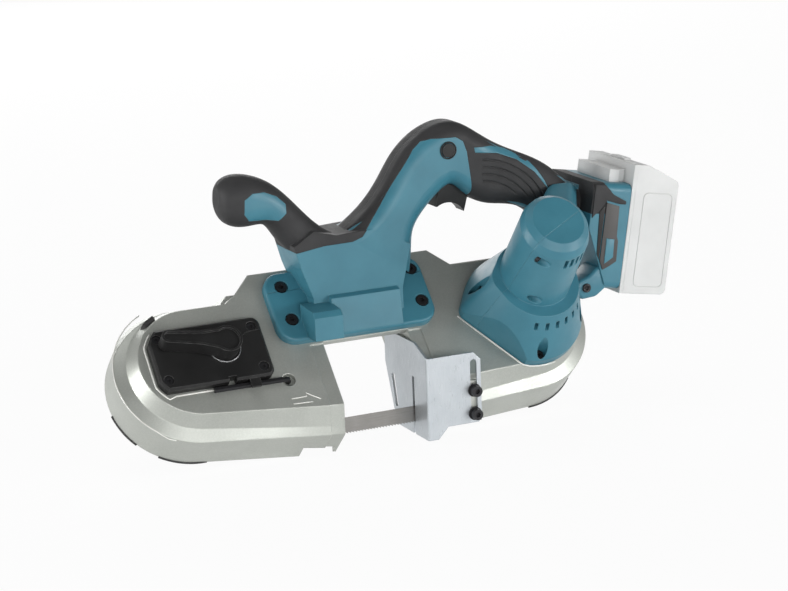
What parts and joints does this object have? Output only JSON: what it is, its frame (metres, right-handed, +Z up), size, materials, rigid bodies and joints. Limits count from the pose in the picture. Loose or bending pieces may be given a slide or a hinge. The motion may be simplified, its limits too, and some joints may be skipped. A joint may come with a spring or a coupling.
{
  "type": "portable band saw",
  "caption": "Cordless portable band saw: leaning cast frame with blade loop, twist guides, tension lever, moulded handle, geared motor and slide-on battery",
  "frame": {"origin": "tooth tip line of the blade where it meets the work face of the stop plate", "axes": "+X along the blade towards the battery, which is also the blade's travel; +Y from the operator's view to the back; +Z up, away from the cut; the frame, wheels and motor lean 47.4 degrees about X"},
  "size_m": [0.467, 0.1573, 0.2371],
  "materials": {
    "cast_frame": "die-cast, warm grey paint, satin",
    "black_rubber": "matt moulded rubber",
    "soft_grip": "soft overmoulded elastomer with fine grain",
    "teal_shell": "glass-filled nylon, fine spark texture",
    "black_plastic": "matt black moulding",
    "wheel_casting": "cast and turned",
    "blade_steel": "rolled band steel, oiled",
    "machined_steel": "turned and ground",
    "black_screws": "black oxide",
    "plated_sheet": "zinc-plated sheet, bright",
    "clear_lens": "clear",
    "circuit_board": "reflector and board",
    "pack_shell": "pale grey moulding",
    "cell_can": "sleeved cells"
  },
  "bodies": {
    "root": {"base_screws": "black_screws", "drive_end_bumper": "black_rubber", "flange_screws": "black_screws", "gear_plate": "wheel_casting", "handle_front_half": "teal_shell", "handle_rear_half": "teal_shell", "hex_key": "black_screws", "housing_screws": "black_screws", "idler_end_bumper": "black_rubber", "lamp_board": "circuit_board", "lamp_lens": "clear_lens", "left_guide_bracket": "machined_steel", "main_frame": "cast_frame", "motor_bearing_front": "machined_steel", "motor_bearing_rear": "machined_steel", "motor_housing_lower": "teal_shell", "motor_housing_upper": "teal_shell", "motor_stator": "machined_steel", "right_guide_bracket": "machined_steel", "saw_blade": "blade_steel", "soft_grip_front": "soft_grip", "soft_grip_rear": "soft_grip", "spindle_bearing_lower": "machined_steel", "spindle_bearing_upper": "machined_steel", "stop_screws": "black_screws", "stop_washers": "black_screws", "switch_body": "black_plastic", "tension_cover": "black_plastic", "tension_cover_screws": "black_screws", "terminal_block": "black_plastic"},
    "drive": {"drive_wheel": "wheel_casting", "drive_tyre": "black_rubber", "drive_spindle": "machined_steel", "drive_wheel_bolt": "black_screws", "output_gear": "machined_steel"},
    "idler": {"idler_wheel": "wheel_casting", "idler_tyre": "black_rubber", "idler_bearing_lower": "machined_steel", "idler_bearing_upper": "machined_steel"},
    "carriage": {"tension_carriage": "wheel_casting", "idler_axle": "machined_steel"},
    "tension_lever": {"tension_lever": "black_plastic", "tension_pivot": "machined_steel"},
    "counter": {"counter_gear": "machined_steel"},
    "rotor": {"motor_rotor": "machined_steel", "motor_pinion": "machined_steel", "motor_fan": "black_plastic"},
    "stop": {"stop_plate": "plated_sheet"},
    "trigger": {"trigger": "black_plastic"},
    "lock_button": {"lock_off_button": "black_plastic"},
    "battery": {"battery_case": "pack_shell", "battery_rail_cover": "pack_shell", "battery_cells": "cell_can"},
    "battery_button": {"battery_button": "pack_shell"},
    "left_front_roller": {"left_guide_front_roller": "machined_steel"},
    "left_rear_roller": {"left_guide_rear_roller": "machined_steel"},
    "left_back_roller": {"left_guide_back_roller": "machined_steel"},
    "right_front_roller": {"right_guide_front_roller": "machined_steel"},
    "right_rear_roller": {"right_guide_rear_roller": "machined_steel"},
    "right_back_roller": {"right_guide_back_roller": "machined_steel"}
  },
  "joints": [
    {"name": "drive_spin", "type": "hinge", "parent": "root", "child": "drive", "pos_m": [0.1, 0.04061, 0.04417], "axis": [0, -0.7361, 0.6769], "continuous": true},
    {"name": "carriage_slide", "type": "slide", "parent": "root", "child": "carriage", "axis": [1, 0, 0], "range_m": [0, 0.005]},
    {"name": "idler_spin", "type": "hinge", "parent": "carriage", "child": "idler", "pos_m": [-0.171, 0.04061, 0.04417], "axis": [0, -0.7361, 0.6769], "continuous": true},
    {"name": "tension_turn", "type": "hinge", "parent": "root", "child": "tension_lever", "pos_m": [-0.1495, 0.04332, 0.04711], "axis": [0, -0.7361, 0.6769], "range_deg": [0, 90]},
    {"name": "counter_spin", "type": "hinge", "parent": "root", "child": "counter", "pos_m": [0.07898, 0.04501, 0.04895], "axis": [0, -0.7361, 0.6769], "continuous": true},
    {"name": "rotor_spin", "type": "hinge", "parent": "root", "child": "rotor", "pos_m": [0.1, 0.04941, 0.05374], "axis": [0, -0.7361, 0.6769], "continuous": true},
    {"name": "stop_slide", "type": "slide", "parent": "root", "child": "stop", "axis": [0, 0, 1], "range_m": [-0.02, 0]},
    {"name": "trigger_pull", "type": "slide", "parent": "root", "child": "trigger", "axis": [0.2756, 0, 0.9613], "range_m": [0, 0.005], "stiffness_N_per_m": 900},
    {"name": "lock_push", "type": "slide", "parent": "root", "child": "lock_button", "axis": [0, 1, 0], "range_m": [-0.0025, 0.0025], "stiffness_N_per_m": 600},
    {"name": "battery_slide", "type": "slide", "parent": "root", "child": "battery", "axis": [0.165, 0, 0.9863], "range_m": [0, 0.095]},
    {"name": "battery_button_push", "type": "slide", "parent": "battery", "child": "battery_button", "axis": [-0.165, 0, -0.9863], "range_m": [0, 0.003], "stiffness_N_per_m": 800},
    {"name": "left_front_roller_spin", "type": "hinge", "parent": "root", "child": "left_front_roller", "pos_m": [-0.09, -0.00475, 0.0065], "axis": [0, 0, 1], "continuous": true},
    {"name": "left_rear_roller_spin", "type": "hinge", "parent": "root", "child": "left_rear_roller", "pos_m": [-0.078, 0.00475, 0.0065], "axis": [0, 0, 1], "continuous": true},
    {"name": "left_back_roller_spin", "type": "hinge", "parent": "root", "child": "left_back_roller", "pos_m": [-0.084, 0, 0.0175], "axis": [0, 1, 0], "continuous": true},
    {"name": "right_front_roller_spin", "type": "hinge", "parent": "root", "child": "right_front_roller", "pos_m": [0.011, -0.00475, 0.0065], "axis": [0, 0, 1], "continuous": true},
    {"name": "right_rear_roller_spin", "type": "hinge", "parent": "root", "child": "right_rear_roller", "pos_m": [0.023, 0.00475, 0.0065], "axis": [0, 0, 1], "continuous": true},
    {"name": "right_back_roller_spin", "type": "hinge", "parent": "root", "child": "right_back_roller", "pos_m": [0.017, 0, 0.0175], "axis": [0, 1, 0], "continuous": true}
  ],
  "couplings": [
    {"joint": "idler_spin", "follows": "drive_spin", "ratio": 1},
    {"joint": "counter_spin", "follows": "drive_spin", "ratio": -3},
    {"joint": "rotor_spin", "follows": "drive_spin", "ratio": 9},
    {"joint": "carriage_slide", "follows": "tension_turn", "m_per_rad": 0.003183},
    {"joint": "left_front_roller_spin", "follows": "drive_spin", "ratio": -11.071},
    {"joint": "left_rear_roller_spin", "follows": "drive_spin", "ratio": 11.071},
    {"joint": "left_back_roller_spin", "follows": "drive_spin", "ratio": -11.071},
    {"joint": "right_front_roller_spin", "follows": "drive_spin", "ratio": -11.071},
    {"joint": "right_rear_roller_spin", "follows": "drive_spin", "ratio": 11.071},
    {"joint": "right_back_roller_spin", "follows": "drive_spin", "ratio": -11.071}
  ]
}
